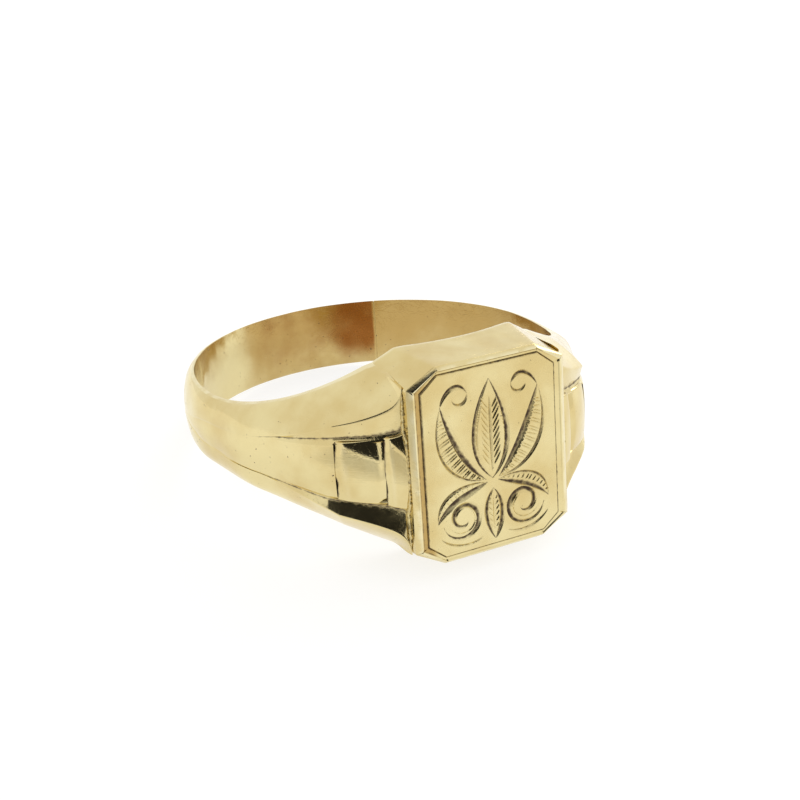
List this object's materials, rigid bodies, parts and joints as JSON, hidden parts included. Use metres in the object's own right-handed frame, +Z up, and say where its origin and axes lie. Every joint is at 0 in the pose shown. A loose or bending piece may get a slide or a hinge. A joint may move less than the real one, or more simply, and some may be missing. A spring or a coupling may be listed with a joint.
{
  "type": "signet ring",
  "caption": "Finger ring with a raised eight-sided flat signet face, fluted and stepped shoulders, and a plain rounded band that narrows to the back.",
  "frame": {"origin": "on the surface the ring lies on, under the middle of its outline seen from above", "axes": "+Z up from the surface, +X from the back of the band to the signet face, +Y across the face. The finger hole runs nearly along Z: it leans 10.08 degrees away from the face, because the tall head lifts the front."},
  "size_m": [0.0226, 0.0198, 0.0102],
  "materials": {
    "gold_body": "worn satin yellow gold",
    "gold_border": "polished yellow gold with rubbed edges",
    "gold_plate": "flat polished yellow gold, scratched, with bright-cut engraving",
    "solder": "rough darkened gold solder"
  },
  "bodies": {
    "root": {"shank_left": "gold_body", "shank_right": "gold_body", "sizing_seam": "solder", "shoulder_left": "gold_body", "tier_outer_left": "gold_body", "tier_inner_left": "gold_body", "solder_bead_left": "solder", "shoulder_right": "gold_body", "tier_outer_right": "gold_body", "tier_inner_right": "gold_body", "solder_bead_right": "solder", "head_box": "gold_body", "finger_liner": "gold_body", "face_border": "gold_border", "signet_plate": "gold_plate"}
  },
  "joints": []
}
